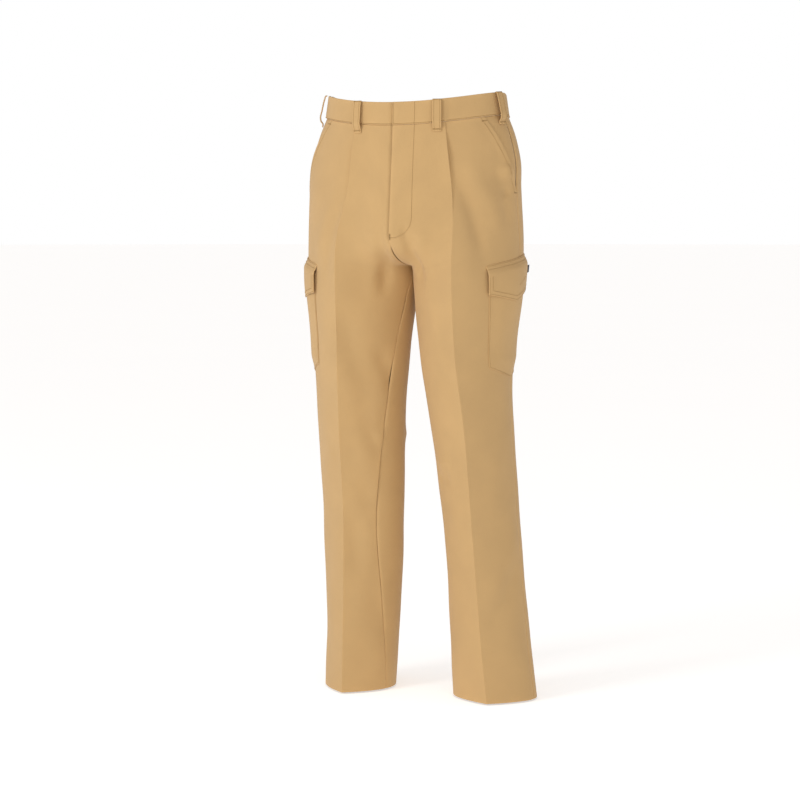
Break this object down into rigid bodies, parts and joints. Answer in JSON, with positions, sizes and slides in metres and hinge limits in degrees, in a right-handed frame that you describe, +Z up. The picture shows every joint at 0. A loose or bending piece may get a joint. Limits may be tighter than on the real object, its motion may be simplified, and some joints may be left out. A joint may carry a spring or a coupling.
{
  "type": "trousers",
  "caption": "Pleated cargo work trousers with a waistband, belt loops, concealed zip fly, slanting side pockets, buttoned back pockets and a flapped cargo pocket on each thigh.",
  "frame": {"origin": "middle of the waist, level with the waistband's top edge at the centre front", "axes": "+Z up, +X towards the wearer's left, front towards -Y"},
  "size_m": [0.4258, 0.2509, 1.0282],
  "materials": {
    "twill": "matte",
    "pocketing": "matte",
    "zip_tape": "matte",
    "hook_and_loop": "matte",
    "ribbon": "satin",
    "zip_metal": "satin",
    "hook_metal": "satin",
    "button": "satin"
  },
  "bodies": {
    "trousers": {"left_front_panel": "twill", "left_back_panel": "twill", "left_waistband": "twill", "left_side_pocket_facing": "twill", "left_back_pocket_welt": "twill", "left_cargo_pocket": "twill", "left_flap_seam_band": "twill", "belt_loop_front_left": "twill", "belt_loop_side_left": "twill", "belt_loop_back_left": "twill", "left_waistband_lining": "pocketing", "left_side_pocket_bag": "pocketing", "left_back_pocket_bag": "pocketing", "left_pocket_loop_pad": "hook_and_loop", "left_back_pocket_button": "button", "zip_tape_left": "zip_tape", "zip_teeth_left": "zip_metal", "right_front_panel": "twill", "right_back_panel": "twill", "right_waistband": "twill", "right_side_pocket_facing": "twill", "right_back_pocket_welt": "twill", "right_cargo_pocket": "twill", "right_flap_seam_band": "twill", "belt_loop_front_right": "twill", "belt_loop_side_right": "twill", "belt_loop_back_right": "twill", "right_waistband_lining": "pocketing", "right_side_pocket_bag": "pocketing", "right_back_pocket_bag": "pocketing", "right_pocket_loop_pad": "hook_and_loop", "right_back_pocket_button": "button", "zip_tape_right": "zip_tape", "zip_teeth_right": "zip_metal", "belt_loop_back_centre": "twill", "fly_facing": "twill", "fly_shield": "twill", "waistband_underlap": "twill", "zip_bottom_stop": "zip_metal", "waist_hook": "hook_metal", "waist_bar": "hook_metal"},
    "left_flap": {"left_cargo_flap": "twill", "left_flap_hook_pad": "hook_and_loop", "flap_ribbon_tab": "ribbon"},
    "right_flap": {"right_cargo_flap": "twill", "right_flap_hook_pad": "hook_and_loop"},
    "zip_slider": {"zip_slider": "zip_metal"},
    "zip_pull": {"zip_pull": "zip_metal"}
  },
  "joints": [
    {"name": "left_flap_hinge", "type": "hinge", "parent": "trousers", "child": "left_flap", "pos_m": [0.19898, 0.00145, -0.2684], "axis": [0, -0.9859, -0.1676], "range_deg": [0, 150]},
    {"name": "right_flap_hinge", "type": "hinge", "parent": "trousers", "child": "right_flap", "pos_m": [-0.20907, 0.00135, -0.26703], "axis": [0, 0.9859, 0.1676], "range_deg": [0, 150]},
    {"name": "zip_slide", "type": "slide", "parent": "trousers", "child": "zip_slider", "axis": [0, -0.09, -0.9959], "range_m": [0, 0.146]},
    {"name": "zip_pull_hinge", "type": "hinge", "parent": "zip_slider", "child": "zip_pull", "pos_m": [0.012, -0.1027, -0.04528], "axis": [1, 0, 0], "range_deg": [0, 4]}
  ]
}
